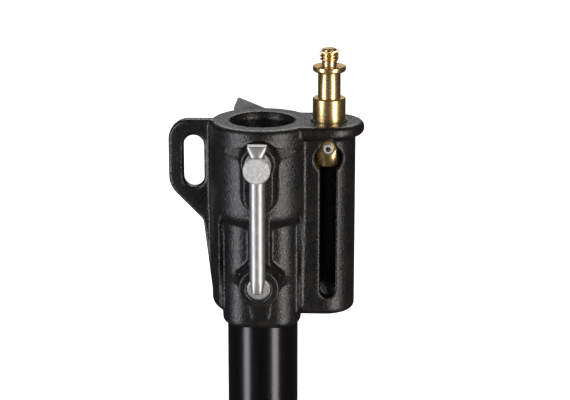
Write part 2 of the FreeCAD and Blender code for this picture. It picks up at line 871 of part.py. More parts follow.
def pad_corners(front, thickness, outer, nose, ring):
    """A pad with a blind hole for the screw's nose and a wider chamber in it for the ring."""
    back = f"{front} + {thickness}"
    hole = f"{nose} / 2 + nose_clearance"
    chamber = f"{ring} / 2 + nose_clearance"
    floor = f"{back} + shoulder_gap - nose_length - nose_end_gap"
    chamber_end = f"{floor} + nose_end_gap + nose_rim + ring_height + nose_end_gap"
    edge = "edge_chamfer"
    return [
        (0, front),
        (f"{outer} / 2 - {edge}", front),
        (f"{outer} / 2", f"{front} + {edge}"),
        (f"{outer} / 2", back),
        (hole, back),
        (hole, chamber_end),
        (chamber, chamber_end),
        (chamber, floor),
        (0, floor),
    ]


def pad_ring(name, object_name, shoulder, nose, ring, where):
    """The spring ring in the nose's groove, which holds the pad on the screw."""
    start = f"{shoulder} - nose_length + nose_rim + ring_play"
    inner = f"{nose} / 2 - ring_groove + ring_play"
    end = f"{start} + ring_height"
    corners = [(inner, start), (f"{ring} / 2", start), (f"{ring} / 2", end), (inner, end)]
    keep(name, turned(object_name, corners, **where))


def insert(name, object_name, face, length, outer, screw, where):
    """A threaded bush in its boss, its chamfered mouth at the given face."""
    inner = f"{screw} / 2 + screw_clearance"
    start = f"{face} - {length}"
    corners = [
        (inner, start),
        (f"{outer} / 2", start),
        (f"{outer} / 2", face),
        (f"{inner} + edge_chamfer", face),
        (inner, f"{face} - edge_chamfer"),
    ]
    keep(name, turned(object_name, corners, **where))


def clamp_fittings():
    here = dict(z=below_top("clamp_drop"), turn=TO_FRONT)
    pad_front = "socket_diameter / 2 + pad_gap"
    corners = pad_corners(pad_front, "pad_thickness", "pad_diameter", "nose_diameter", "ring_outer")
    keep("clamp_pad", turned("ClampPad", corners, **here))
    shoulder = f"{pad_front} + pad_thickness + shoulder_gap"
    pad_ring("clamp_pad_ring", "ClampPadRing", shoulder, "nose_diameter", "ring_outer", here)
    face = f"{BOSS_FACE} - insert_cover"
    sizes = (face, "insert_length", "insert_diameter", "screw_diameter")
    insert("clamp_insert", "ClampInsert", *sizes, here)


def tommy_bar():
    """The sliding bar, its upper end pressed flat in front and its lower one at the sides."""
    rest = below_top("clamp_drop - head_diameter / 2 - bar_seat")
    top = f"{rest} + flare_length"
    bottom = f"{top} - bar_length"
    rod_span = "bar_length - flare_length - low_flare_length"
    rod = cylinder("BarRod", "bar_diameter", rod_span, y=BAR_Y, z=f"{bottom} + low_flare_length")
    radius = "bar_diameter / 2"
    broad = ("-flare_diameter", "flare_diameter")
    top_thin, low_thin = "flare_thickness / 2", "low_flare_thickness / 2"
    high = dict(y=BAR_Y, z=rest)
    low = dict(y=BAR_Y, z=f"{bottom} + low_flare_length")
    low_long = "low_flare_length"
    down = Rotation(Vector(1, 0, 0), 180)
    up_turn = Rotation(Vector(1, 0, 0), 90)
    base = (*broad, f"-{radius}", radius)
    tip = (*broad, f"-{top_thin}", top_thin)
    jaws = wedge("FlatsTop", base, tip, 0, "flare_length", up_turn, **high)
    spread = cone("FlareTop", radius, "flare_diameter / 2", "flare_length", **high)
    ends = [common("EndTop", spread, jaws)]
    base = (f"-{radius}", radius, *broad)
    tip = (f"-{low_thin}", low_thin, *broad)
    jaws = wedge("FlatsBottom", base, tip, 0, low_long, up_turn.inverted(), **low)
    spread = cone("FlareBottom", radius, "low_flare_diameter / 2", low_long, turn=down, **low)
    ends.append(common("EndBottom", spread, jaws))
    keep("tommy_bar", fuse("TommyBar", [rod, *ends]))


# Stud


def stud():
    """The brass stud: base, neck, flange, undercut and threaded tip."""
    base, neck = "stud_diameter / 2", "stud_neck / 2"
    corners = [
        (0, "-stud_foot_drop"),
        (f"{base} - stud_chamfer", "-stud_foot_drop"),
        (base, "-stud_foot_drop + stud_chamfer"),
        (base, "-stud_relief_length"),
        (f"{base} - stud_relief_depth", "-stud_relief_length"),
        (f"{base} - stud_relief_depth", 0),
        (base, 0),
        (base, "stud_base_rise - base_chamfer"),
        (f"{base} - base_chamfer", "stud_base_rise"),
        (neck, "stud_base_rise"),
        (neck, "stud_neck_rise"),
        (f"{base} - flange_chamfer", "stud_neck_rise"),
        (base, "stud_neck_rise + flange_chamfer"),
        (base, "flange_rise - flange_top_chamfer"),
        (f"{base} - flange_top_chamfer", "flange_rise"),
        ("undercut_diameter / 2", "flange_rise"),
        ("undercut_diameter / 2", "undercut_rise"),
        ("thread_diameter / 2", "undercut_rise"),
        ("thread_diameter / 2", "thread_rise"),
        ("tip_diameter / 2", "tip_rise"),
        (0, "tip_rise"),
    ]
    blank = turned("StudTurned", corners, x="stud_offset", z=TOP)
    hole_place = dict(x="stud_offset", y="pin_inside", z=below_top("pin_drop"), turn=TO_FRONT)
    hole = cylinder("PinHole", "pin_diameter", "pin_inside + stud_diameter", **hole_place)
    keep("stud", cut("Stud", blank, hole))


def stud_pin():
    """The hollow pin in the stud, its chamfered end standing out of the slot."""
    inner, outer = "pin_bore / 2", "pin_diameter / 2"
    edge = "edge_chamfer"
    corners = [
        (inner, "-pin_inside"),
        (outer, "-pin_inside"),
        (outer, f"pin_reach - {edge}"),
        (f"{outer} - {edge}", "pin_reach"),
        (inner, "pin_reach"),
    ]
    here = dict(x="stud_offset", z=below_top("pin_drop"), turn=TO_FRONT)
    keep("stud_pin", turned("StudPin", corners, **here))
    inner, outer = "pin_diameter / 2", "sleeve_diameter / 2"
    start, end = "pin_sleeve_start", "pin_sleeve_end"
    corners = [(inner, start), (outer, start), (outer, end), (inner, end)]
    keep("stud_pin_sleeve", turned("StudPinSleeve", corners, **here))


# Stud lock


def lock_fittings():
    here = along_lock("0")
    shoulder = "lock_pad_start + lock_pad_thickness + shoulder_gap"
    nose, ring = "lock_nose_diameter", "lock_ring_outer"
    size = ("lock_pad_start", "lock_pad_thickness", "lock_pad_diameter")
    keep("lock_pad", turned("LockPad", pad_corners(*size, nose, ring), **here))
    pad_ring("lock_pad_ring", "LockPadRing", shoulder, nose, ring, here)
    sizes = (LOCK_FACE, "lock_insert_length", "lock_insert_diameter", "lock_screw_diameter")
    insert("lock_insert", "LockInsert", *sizes, here)
    corners = screw_end(shoulder, nose, "lock_screw_diameter")
    end = f"{HUB_START} + knob_screw_depth"
    corners += [("lock_screw_diameter / 2", end), (0, end)]
    keep("lock_screw", turned("LockScrew", corners, **here))


def lock_knob():
    """The wing knob: a hub with two wings that widen backwards, and a cap in its end."""
    here = along_lock("0")
    edge = "hub_chamfer"
    inside = f"{HUB_END} - cap_thickness"
    corners = [
        ("lock_screw_diameter / 2", HUB_START),
        (f"hub_radius - {edge}", HUB_START),
        ("hub_radius", f"{HUB_START} + {edge}"),
        ("hub_radius", f"{HUB_END} - {edge}"),
        (f"hub_radius - {edge}", HUB_END),
        ("cap_diameter / 2", HUB_END),
        ("cap_diameter / 2", inside),
        (0, inside),
        (0, f"{HUB_START} + knob_screw_depth"),
        ("lock_screw_diameter / 2", f"{HUB_START} + knob_screw_depth"),
    ]
    hub = turned("KnobHub", corners, **here)
    base = ("wing_root_start", "wing_root_end", "-wing_root_half", "wing_root_half")
    tip = ("wing_tip_start", "wing_tip_end", "-wing_tip_half", "wing_tip_half")
    wings = []
    for name, flip in (("Left", 0), ("Right", 180)):
        wing = wedge(f"Wing{name}", base, tip, "wing_root", "wing_reach", None)
        turn = wing_turn(value("wing_tilt") + flip)
        wings.append(place(wing, **{**along_lock(HUB_START), "turn": turn}))
    hollows = [
        cylinder("KnobScrewHole", "lock_screw_diameter", "knob_screw_depth", **along_lock(HUB_START)),
        cylinder("KnobCapSeat", "cap_diameter", f"cap_thickness + {PAST}", **along_lock(inside)),
    ]
    forms = fuse("KnobForms", [hub, *wings])
    keep("lock_knob", cut("LockKnob", forms, fuse("KnobHollows", hollows)))
    rim = "cap_diameter / 2"
    crown = f"{HUB_END} + cap_crown"
    corners = [(0, inside), (rim, inside), (rim, HUB_END), (f"{rim} - {edge}", crown), (0, crown)]
    keep("lock_knob_cap", turned("KnobCap", corners, **here))


def wing_turn(tilt):
    """Turns a wing so that its X runs back along the screw and its Y out from it, tilt above level."""
    angle, rise = math.radians(value("lock_angle")), math.radians(tilt)
    back = Vector(-math.sin(angle), math.cos(angle), 0)
    level_out = Vector(-math.cos(angle), -math.sin(angle), 0)
    out = level_out * math.cos(rise) + Vector(0, 0, 1) * math.sin(rise)
    third = back.cross(out)
    matrix = Matrix(back.x, out.x, third.x, 0, back.y, out.y, third.y, 0, back.z, out.z, third.z, 0)
    return Rotation(matrix)


def check(thing):
    """Stops the build at an object that failed or a piece that isn't a sound solid."""
    bad = [state for state in thing.State if state in ("Invalid", "Error")]
    if bad:
        raise RuntimeError(f"{thing.Name} is {bad}")


head_casting()
column_tube()
column_plug()
column_bolt()
washer("bolt_washer_front", "FrontWasher", TO_FRONT, "-")
washer("bolt_washer_back", "BackWasher", TO_BACK, "")
column_nut()
clamp_screw()
tommy_bar()
clamp_fittings()
stud()
stud_pin()
lock_fittings()
lock_knob()

doc.recompute()
for thing in doc.Objects:
    check(thing)
os.makedirs("parts", exist_ok=True)
for label, thing in nodes.items():
    if thing.Shape.isNull() or not thing.Shape.isValid():
        raise RuntimeError(f"{label} has no sound shape")
for label, thing in nodes.items():
    thing.Shape.exportStep(f"parts/{label}.step")
    print(label, len(thing.Shape.Solids), round(thing.Shape.Volume, 1))
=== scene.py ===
# The looks of the head of a light stand: cast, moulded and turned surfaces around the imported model.
# The object's lengths are in millimetres here and reach Blender through MM, in metres. The lengths of
# the floor, the lamps and the camera are in metres.

import json
import math

import bmesh
import bpy
import numpy as np
import openvdb
from mathutils import Matrix, Vector

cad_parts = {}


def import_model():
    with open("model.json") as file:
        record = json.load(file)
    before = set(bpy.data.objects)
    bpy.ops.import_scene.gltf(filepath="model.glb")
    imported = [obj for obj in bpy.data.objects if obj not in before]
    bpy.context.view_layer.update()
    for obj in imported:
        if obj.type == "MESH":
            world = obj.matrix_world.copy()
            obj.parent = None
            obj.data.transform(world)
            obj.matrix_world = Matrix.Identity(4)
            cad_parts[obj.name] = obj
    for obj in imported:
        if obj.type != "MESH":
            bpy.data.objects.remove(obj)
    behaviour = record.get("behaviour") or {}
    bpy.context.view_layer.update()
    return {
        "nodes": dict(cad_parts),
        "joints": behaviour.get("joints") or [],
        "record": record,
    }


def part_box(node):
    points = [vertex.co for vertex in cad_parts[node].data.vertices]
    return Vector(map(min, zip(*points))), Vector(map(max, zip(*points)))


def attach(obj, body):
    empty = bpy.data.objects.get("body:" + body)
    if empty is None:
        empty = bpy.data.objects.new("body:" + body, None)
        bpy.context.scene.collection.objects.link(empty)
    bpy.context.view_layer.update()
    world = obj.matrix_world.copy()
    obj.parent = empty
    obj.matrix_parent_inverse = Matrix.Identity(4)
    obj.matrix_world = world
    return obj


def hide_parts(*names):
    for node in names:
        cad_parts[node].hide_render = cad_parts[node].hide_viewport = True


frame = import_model()

MM = 0.001
NODES = frame["nodes"]
MOUNTS = {mount["name"]: mount for mount in frame["record"]["mounts"]}
JOINTS = {joint["name"]: joint for joint in frame["joints"]}

# Places read off the frame


def extent_mm(node, axis):
    """A node's lowest and highest place at rest, along x, y or z."""
    return [getattr(corner, axis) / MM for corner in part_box(node)]


# How deep the socket is, and how far the cord lug's face stands in front of the middle plane
SOCKET_DEPTH_MM = 48.0
LUG_FACE_MM = 3.0

collar_mm, top_mm = extent_mm("head_casting", "z")
boss_face_mm = -extent_mm("head_casting", "y")[0]
socket_r_mm = MOUNTS["socket"]["dims"]["r_mm"]
socket_floor_mm = top_mm - SOCKET_DEPTH_MM
plug_top_mm = extent_mm("column_plug", "z")[1]
tube_r_mm = MOUNTS["column_end"]["dims"]["r_mm"]
stud_x_mm = MOUNTS["stud_spigot"]["pos_m"][0] / MM
stud_r_mm = MOUNTS["stud_spigot"]["dims"]["r_mm"]
stud_low_mm, stud_high_mm = extent_mm("stud", "z")
bar_low_mm, bar_high_mm = extent_mm("tommy_bar", "z")
bar_y_mm = sum(extent_mm("tommy_bar", "y")) / 2
clamp_z_mm = sum(extent_mm("clamp_insert", "z")) / 2
insert_face_mm = -extent_mm("clamp_insert", "y")[0]
bolt_z_mm = sum(extent_mm("column_bolt", "z")) / 2
washer_face_mm = -extent_mm("bolt_washer_front", "y")[1]
lock_axis = Vector(JOINTS["lock_knob_turn"]["axis"]).normalized()
lock_z_mm = JOINTS["lock_knob_turn"]["pos_m"][2] / MM
lock_root_mm = Vector((stud_x_mm, 0, lock_z_mm))


# Mesh helpers

# The way that the clamp screw's head and the lug's face look
FORWARD = (0, -1, 0)
LATHE_STEPS = 96
SOCKET_STEPS = 128
MARK_STEPS = 32
CREASE_ANGLE = 35


def make_object(name, vertices, faces):
    """A smooth-shaded mesh object whose points are given in millimetres."""
    mesh = bpy.data.meshes.new(name)
    mesh.from_pydata([tuple(Vector(v) * MM) for v in vertices], [], faces)
    thing = bpy.data.objects.new(name, mesh)
    bpy.context.scene.collection.objects.link(thing)
    outward(mesh)
    return thing


def outward(mesh):
    """Points all faces outwards and shades them smooth."""
    form = bmesh.new()
    form.from_mesh(mesh)
    bmesh.ops.recalc_face_normals(form, faces=form.faces)
    form.to_mesh(mesh)
    form.free()
    shade_smooth(mesh)


def shade_smooth(mesh):
    mesh.polygons.foreach_set("use_smooth", [True] * len(mesh.polygons))


def crease(thing, angle=CREASE_ANGLE):
    """Smooth shading that keeps edges crisp where the faces turn by more than an angle."""
    form = bmesh.new()
    form.from_mesh(thing.data)
    limit = math.radians(angle)
    for edge in form.edges:
        sharp = len(edge.link_faces) == 2 and edge.calc_face_angle(0) > limit
        edge.smooth = not sharp
    form.to_mesh(thing.data)
    form.free()
    shade_smooth(thing.data)


def turn_to(axis, origin):
    """The matrix that stands a thing's own Z along an axis, at an origin."""
    turned = Vector(axis).to_track_quat("Z", "Y").to_matrix().to_4x4()
    return Matrix.Translation(origin) @ turned


def circle(radius, height, steps):
    """A level ring of points around Z."""
    angles = [2 * math.pi * step / steps for step in range(steps)]
    return [(radius * math.cos(a), radius * math.sin(a), height) for a in angles]


def lathe(name, corners, matrix, steps=LATHE_STEPS):
    """A closed solid turned about its own Z from (radius, height) corners that start and end on it."""
    rings = [circle(radius, height, steps) for radius, height in corners if radius > 0]
    ends = [(0, 0, corners[0][1]), (0, 0, corners[-1][1])]
    return skinned(name, rings, ends, matrix)


def skinned(name, rings, ends, matrix):
    """A closed solid through rings of equally many points, its two ends drawn to single points."""
    steps = len(rings[0])
    vertices = [point for ring in rings for point in ring]
    faces = []
    for ring in range(len(rings) - 1):
        low, high = ring * steps, (ring + 1) * steps
        for step in range(steps):
            after = (step + 1) % steps
            faces.append((low + step, low + after, high + after, high + step))
    for ring, end in ((0, ends[0]), (len(rings) - 1, ends[1])):
        centre = len(vertices)
        vertices.append(end)
        start = ring * steps
        faces += [(centre, start + step, start + (step + 1) % steps) for step in range(steps)]
    return make_object(name, [matrix @ Vector(v) for v in vertices], faces)


def applied(thing):
    """Fixes a thing's modifiers in its mesh."""
    graph = bpy.context.evaluated_depsgraph_get()
    mesh = bpy.data.meshes.new_from_object(thing.evaluated_get(graph))
    thing.modifiers.clear()
    thing.data = mesh
    return thing


def carve(thing, tools):
    """Cuts closed solids out of a thing, and deletes them."""
    for tool in tools:
        knife = thing.modifiers.new("Carve", "BOOLEAN")
        knife.operation = "DIFFERENCE"
        knife.solver = "MANIFOLD"
        knife.object = tool
    applied(thing)
    for tool in tools:
        bpy.data.objects.remove(tool)


# Rounding by distance fields, for what is cast or moulded

SPARE_VOXELS = 2
POLISH_FACTOR = 0.5
POLISH_PASSES = 2


def triangles_of(node):
    """A CAD node's points and its triangles."""
    mesh = NODES[node].data
    mesh.calc_loop_triangles()
    points = np.zeros(len(mesh.vertices) * 3, np.float32)
    mesh.vertices.foreach_get("co", points)
    corners = np.zeros(len(mesh.loop_triangles) * 3, np.int32)
    mesh.loop_triangles.foreach_get("vertices", corners)
    return points.reshape(-1, 3) / MM, corners.reshape(-1, 3).astype(np.uint32)


def field(points, triangles, quads, voxel, reach):
    """The distance field of a closed surface, known as far as reach on both sides of it."""
    return openvdb.FloatGrid.createLevelSetFromPolygons(
        np.ascontiguousarray(points, np.float32),
        triangles=np.ascontiguousarray(triangles, np.uint32),
        quads=np.ascontiguousarray(quads, np.uint32),
        transform=openvdb.createLinearTransform(voxelSize=voxel),
        halfWidth=reach / voxel + SPARE_VOXELS,
    )


def offset(surface, voxel, distance):
    """The surface moved outwards by a distance, or inwards by a negative one."""
    return field(*surface, voxel, abs(distance)).convertToPolygons(distance)


def rounded(node, voxel, inside, outside):
    """A CAD node's form as a new object, its inner corners and outer edges rounded to these radii."""
    points, triangles = triangles_of(node)
    surface = (points, triangles, np.zeros((0, 4), np.uint32))
    for distance in (inside, -inside - outside, outside):
        surface = offset(surface, voxel, distance)
    points, triangles, quads = surface
    faces = [tuple(map(int, face)) for group in (triangles, quads) for face in group]
    thing = make_object(f"{node}_form", points.tolist(), faces)
    smooth = thing.modifiers.new("Polish", "SMOOTH")
    smooth.factor = POLISH_FACTOR
    smooth.iterations = POLISH_PASSES
    return applied(thing)


# Materials

# Each finish's darker and lighter colour, and the range of its roughness
CAST_COLOURS = ((0.004, 0.004, 0.005), (0.012, 0.011, 0.009))
CAST_ROUGHNESS = (0.24, 0.36)
TUBE_COLOURS = ((0.001, 0.001, 0.0015), (0.003, 0.003, 0.003))
TUBE_ROUGHNESS = (0.19, 0.25)
KNOB_COLOURS = ((0.12, 0.12, 0.12), (0.30, 0.30, 0.29))
KNOB_ROUGHNESS = (0.48, 0.62)
ZINC_COLOURS = ((0.52, 0.52, 0.52), (0.70, 0.70, 0.69))
ZINC_ROUGHNESS = (0.42, 0.56)
NICKEL_COLOURS = ((0.44, 0.44, 0.44), (0.60, 0.60, 0.59))
NICKEL_ROUGHNESS = (0.42, 0.54)
BLASTED_COLOURS = ((0.54, 0.54, 0.53), (0.88, 0.88, 0.87))
BLASTED_ROUGHNESS = (0.58, 0.74)
BRASS_COLOURS = ((0.86, 0.53, 0.20), (0.97, 0.73, 0.38))
BRASS_ROUGHNESS = (0.24, 0.34)
PAD_BRASS_ROUGHNESS = (0.25, 0.35)

# How far a grain is drawn out along each axis
EVEN = (1, 1, 1)
DRAWN_TUBE = (1, 1, 9)
DRAWN_TUBE_RELIEF = (1, 1, 4)
DRAWN_BAR = (1, 1, 6)
TURNED_RINGS = (60, 60, 1)

# The middle part of a noise's range, where nearly all of its values lie
NOISE_LOW = 0.3
NOISE_HIGH = 0.7


def material(name, **sockets):
    """A Principled material, its even values set on the shader's own sockets."""
    made = bpy.data.materials.new(name)
    made.use_nodes = True
    shader = made.node_tree.nodes["Principled BSDF"]
    for socket, value in sockets.items():
        shader.inputs[socket.replace("_", " ")].default_value = value
    return made, made.node_tree, shader


def add(tree, kind, values=None, **settings):
    """A new node, with values for its sockets and its own settings."""
    node = tree.nodes.new(kind)
    for name, value in settings.items():
        setattr(node, name, value)
    for socket, value in (values or {}).items():
        node.inputs[socket].default_value = value
    return node


def noise(tree, size_mm, detail=2, roughness=0.5, stretch=EVEN):
    """Noise whose grain has about this size, fixed to the piece; stretch widens it along an axis."""
    place = add(tree, "ShaderNodeTexCoord")
    scaled = add(tree, "ShaderNodeMapping", {"Scale": [1 / s for s in stretch]})
    tree.links.new(place.outputs["Object"], scaled.inputs["Vector"])
    values = {"Scale": 1 / (size_mm * MM), "Detail": detail, "Roughness": roughness}
    grain = add(tree, "ShaderNodeTexNoise", values)
    tree.links.new(scaled.outputs["Vector"], grain.inputs["Vector"])
    return grain.outputs["Fac"]


def between(tree, source, low, high):
    """Maps a noise's middle range to two values."""
    values = {"From Min": NOISE_LOW, "From Max": NOISE_HIGH, "To Min": low, "To Max": high}
    span = add(tree, "ShaderNodeMapRange", values)
    tree.links.new(source, span.inputs["Value"])
    return span.outputs["Result"]


def vary(tree, shader, colour_grain, colours, rough_grain, roughness):
    """Lets a shader's colour and roughness go between two values each, along two noises."""
    mix = add(tree, "ShaderNodeMix", data_type="RGBA")
    mix.inputs["A"].default_value = (*colours[0], 1)
    mix.inputs["B"].default_value = (*colours[1], 1)
    tree.links.new(between(tree, colour_grain, 0, 1), mix.inputs["Factor"])
    tree.links.new(mix.outputs["Result"], shader.inputs["Base Color"])
    tree.links.new(between(tree, rough_grain, *roughness), shader.inputs["Roughness"])


def relief(tree, shader, *layers):
    """Adds bumps to a shader, each layer (height source, depth in millimetres, strength)."""
    normal = None
    for height, depth_mm, strength in layers:
        bump = add(tree, "ShaderNodeBump", {"Strength": strength, "Distance": depth_mm * MM})
        tree.links.new(height, bump.inputs["Height"])
        if normal is not None:
            tree.links.new(normal, bump.inputs["Normal"])
        normal = bump.outputs["Normal"]
    tree.links.new(normal, shader.inputs["Normal"])


def cast_paint():
    """Stippled black powder paint on the casting."""
    made, tree, shader = material("cast_paint", Specular_IOR_Level=0.6)
    patches = noise(tree, 7, detail=4)
    vary(tree, shader, patches, CAST_COLOURS, noise(tree, 1.5, detail=3), CAST_ROUGHNESS)
    stipple = noise(tree, 0.85, roughness=0.6)
    waves = noise(tree, 2.4)
    relief(tree, shader, (stipple, 0.24, 1.0), (waves, 0.10, 0.4))
    return made


def tube_paint():
    """Gloss black paint over the faint streaks of a drawn tube."""
    made, tree, shader = material("tube_paint", Specular_IOR_Level=0.5)
    streaks = noise(tree, 2, stretch=DRAWN_TUBE)
    vary(tree, shader, streaks, TUBE_COLOURS, noise(tree, 0.8), TUBE_ROUGHNESS)
    relief(tree, shader, (noise(tree, 1.6, stretch=DRAWN_TUBE_RELIEF), 0.02, 0.25))
    return made


def bright_steel(name, colours, roughness, grain_mm, stretch=EVEN):
    """Plated or blasted steel with patches three times as large as its grain."""
    made, tree, shader = material(name, Metallic=1.0)
    patches = noise(tree, grain_mm * 3, detail=3, roughness=0.6, stretch=stretch)
    grain = noise(tree, grain_mm, roughness=0.6, stretch=stretch)
    vary(tree, shader, patches, colours, grain, roughness)
    fine = noise(tree, grain_mm, detail=3, roughness=0.6, stretch=stretch)
    relief(tree, shader, (fine, 0.02, 0.35))
    return made


def turned_brass(name, roughness):
    """Brass with the fine rings that a lathe leaves, which run round the piece's own upright axis."""
    made, tree, shader = material(name, Metallic=1.0)
    rings = noise(tree, 0.25, detail=3, roughness=0.7, stretch=TURNED_RINGS)
    vary(tree, shader, rings, BRASS_COLOURS, noise(tree, 0.5), roughness)
    relief(tree, shader, (rings, 0.012, 0.5))
    return made


def knob_plastic():
    """Worn black plastic that reads as dark grey."""
    made, tree, shader = material("knob_plastic", Specular_IOR_Level=0.5)
    speck = noise(tree, 0.6, detail=3)
    vary(tree, shader, speck, KNOB_COLOURS, noise(tree, 0.9), KNOB_ROUGHNESS)
    relief(tree, shader, (noise(tree, 0.7, detail=3, roughness=0.6), 0.10, 0.7))
    return made


def dress(finish, *things):
    """Gives things one material over all their slots."""
    for thing in things:
        thing.data.materials.clear()
        thing.data.materials.append(finish)


# The casting

# The voxel of its distance field, and the radii in its inner corners and on its outer edges
CAST_VOXEL = 0.45
CAST_FILLET = 0.8
CAST_EDGE = 0.4

# How far a cutting solid runs past the face that it cuts
PAST_MM = 1.0

# Where ejector pins left their marks on the lug, (x, z), then the marks' radius and depth
EJECTOR_MARKS = ((-30.6, 129.4), (-35.5, 165.3))
EJECTOR_RADIUS = 2.0
EJECTOR_DEPTH = 0.12


def casting():
    """The cast head: rounded as a casting is, then bored where the real one is machined."""
    skin = rounded("head_casting", CAST_VOXEL, CAST_FILLET, CAST_EDGE)
    marks = [ejector_mark(x, z) for x, z in EJECTOR_MARKS]
    bores = [column_hollow(), stud_hollow(), clamp_hollow(), bolt_hollow(), lock_hollow()]
    carve(skin, bores + marks)
    skin.name = skin.data.name = "cast_head"
    crease(skin)
    return skin


def ejector_mark(x, z):
    """The disc that an ejector pin pressed into the lug's face."""
    floor, outside = LUG_FACE_MM - EJECTOR_DEPTH, LUG_FACE_MM + PAST_MM
    corners = [(0, floor), (EJECTOR_RADIUS, floor), (EJECTOR_RADIUS, outside), (0, outside)]
    return lathe("ejector_mark", corners, turn_to(FORWARD, (x, 0, z)), MARK_STEPS)


def column_hollow():
    """The socket with its chamfered mouth, the tube's seat and the drain between them."""
    gap, drain = 0.05, 9.0
    seat = tube_r_mm + gap
    chamfer, chamfer_depth = 1.6, 3.0
    mouth = socket_r_mm + chamfer
    corners = [
        (0, collar_mm - PAST_MM),
        (seat, collar_mm - PAST_MM),
        (seat, plug_top_mm),
        (drain, plug_top_mm),
        (drain, socket_floor_mm),
        (socket_r_mm, socket_floor_mm),
        (socket_r_mm, top_mm - chamfer_depth),
        (mouth, top_mm),
        (mouth, top_mm + PAST_MM),
        (0, top_mm + PAST_MM),
    ]
    return lathe("column_hollow", corners, Matrix.Identity(4), SOCKET_STEPS)


def stud_hollow():
    """The stud's bore, with its chamfered mouth."""
    play, chamfer = 0.2, 0.8
    bore = stud_r_mm + play
    mouth = bore + chamfer
    corners = [
        (0, collar_mm),
        (bore, collar_mm),
        (bore, top_mm - chamfer),
        (mouth, top_mm),
        (mouth, top_mm + PAST_MM),
        (0, top_mm + PAST_MM),
    ]
    return lathe("stud_hollow", corners, Matrix.Translation((stud_x_mm, 0, 0)))


def clamp_hollow():
    """The clamp pad's pocket behind the socket's wall, its bush's seat and the screw's passage."""
    pocket, pocket_depth = 6.45, 4.35
    pocket_end = socket_r_mm + pocket_depth
    passage, seat = 5.3, 6.4
    outside = boss_face_mm + PAST_MM
    corners = [
        (0, 0),
        (pocket, 0),
        (pocket, pocket_end),
        (seat, pocket_end),
        (seat, insert_face_mm),
        (passage, insert_face_mm),
        (passage, outside),
        (0, outside),
    ]
    return lathe("clamp_hollow", corners, turn_to(FORWARD, (0, 0, clamp_z_mm)))


def bolt_hollow():
    """The column bolt's hole, with a recess for the head in front and for the nut behind."""
    hole, recess = 3.2, 5.9
    outside = boss_face_mm + PAST_MM
    corners = [
        (0, -outside),
        (recess, -outside),
        (recess, -washer_face_mm),
        (hole, -washer_face_mm),
        (hole, washer_face_mm),
        (recess, washer_face_mm),
        (recess, outside),
        (0, outside),
    ]
    return lathe("bolt_hollow", corners, turn_to(FORWARD, (0, 0, bolt_z_mm)))


def lock_hollow():
    """The lock pad's pocket beside the stud, the screw's passage and its bush's seat."""
    pocket, pocket_end = 5.45, 13.95
    passage, seat = 4.3, 5.5
    seat_start, face = 24.0, 34.0
    corners = [
        (0, 0),
        (pocket, 0),
        (pocket, pocket_end),
        (passage, pocket_end),
        (passage, seat_start),
        (seat, seat_start),
        (seat, face + PAST_MM),
        (0, face + PAST_MM),
    ]
    return lathe("lock_hollow", corners, turn_to(lock_axis, lock_root_mm))


# The stud

# The stud's foot, (radius, rise) above its lower end
STUD_FOOT = (
    (7.2, 0),
    (7.8, 0.2),
    (8.0, 0.8),
)
# The rest of its outline up to the thread, (radius, rise) above the casting's top face
STUD_OUTLINE = (
    (8.0, -5.0),
    (7.7, -5.0),
    (7.7, 0),
    (8.0, 0),
    (8.0, 10.9),
    (7.6, 11.3),
    (5.6, 11.3),
    (5.5, 11.5),
    (5.5, 23.9),
    (5.6, 24.1),
    (7.2, 24.1),
    (7.9, 24.7),
    (8.0, 24.9),
    (8.0, 26.6),
    (7.7, 26.9),
    (3.7, 26.9),
    (3.6, 27.1),
    (3.6, 29.3),
)
THREAD_PITCH = 25.4 / 16
THREAD_CREST = 4.75
THREAD_ROOT = 3.75
THREAD_LOW = 29.3
THREAD_HIGH = 35.0
THREAD_LAYERS = 64
# How steeply the thread falls from its flat crest to its flat root on both sides
FLANK_TOP = 1.45
FLANK_SLOPE = 4.2
# The thread fades over these heights into the neck below it and the start above it
FADE_IN = 0.5
FADE_OUT = 0.9
NECK_RADIUS = 3.6
START_RADIUS = 3.3
START_CHAMFER = 0.4
STUD_STEPS = 128
STUD_CREASE = 32


def thread_radius(rise, turn):
    """The thread's radius at a height, a share of a turn around; it fades in and out at its ends."""
    phase = (rise / THREAD_PITCH - turn) % 1
    flank = min(1, max(0, FLANK_TOP - abs(phase - 0.5) * FLANK_SLOPE))
    full = THREAD_ROOT + (THREAD_CREST - THREAD_ROOT) * flank
    fade_in = min(1, (rise - THREAD_LOW) / FADE_IN)
    fade_out = min(1, (THREAD_HIGH - rise) / FADE_OUT)
    edge = START_RADIUS if rise > (THREAD_LOW + THREAD_HIGH) / 2 else NECK_RADIUS
    return edge + (full - edge) * min(fade_in, fade_out)


def thread_ring(rise):
    """A ring around the thread at one height, whose crests lie further round at each height."""
    ring = []
    for step in range(STUD_STEPS):
        turn = step / STUD_STEPS
        radius = thread_radius(rise, turn)
        angle = 2 * math.pi * turn
        ring.append((radius * math.cos(angle), radius * math.sin(angle), top_mm + rise))
    return ring


def threaded_stud():
    """The turned stud from its foot up to the end of its screw thread."""
    foot = [(radius, stud_low_mm - top_mm + up) for radius, up in STUD_FOOT]
    rings = [circle(radius, top_mm + rise, STUD_STEPS) for radius, rise in (*foot, *STUD_OUTLINE)]
    for layer in range(THREAD_LAYERS + 1):
        rings.append(thread_ring(THREAD_LOW + (THREAD_HIGH - THREAD_LOW) * layer / THREAD_LAYERS))
    rings.append(circle(START_RADIUS - START_CHAMFER, stud_high_mm, STUD_STEPS))
    ends = [(0, 0, stud_low_mm), (0, 0, stud_high_mm)]
    made = skinned("turned_stud", rings, ends, Matrix.Translation((stud_x_mm, 0, 0)))
    crease(made, STUD_CREASE)
    return made


# The sliding bar

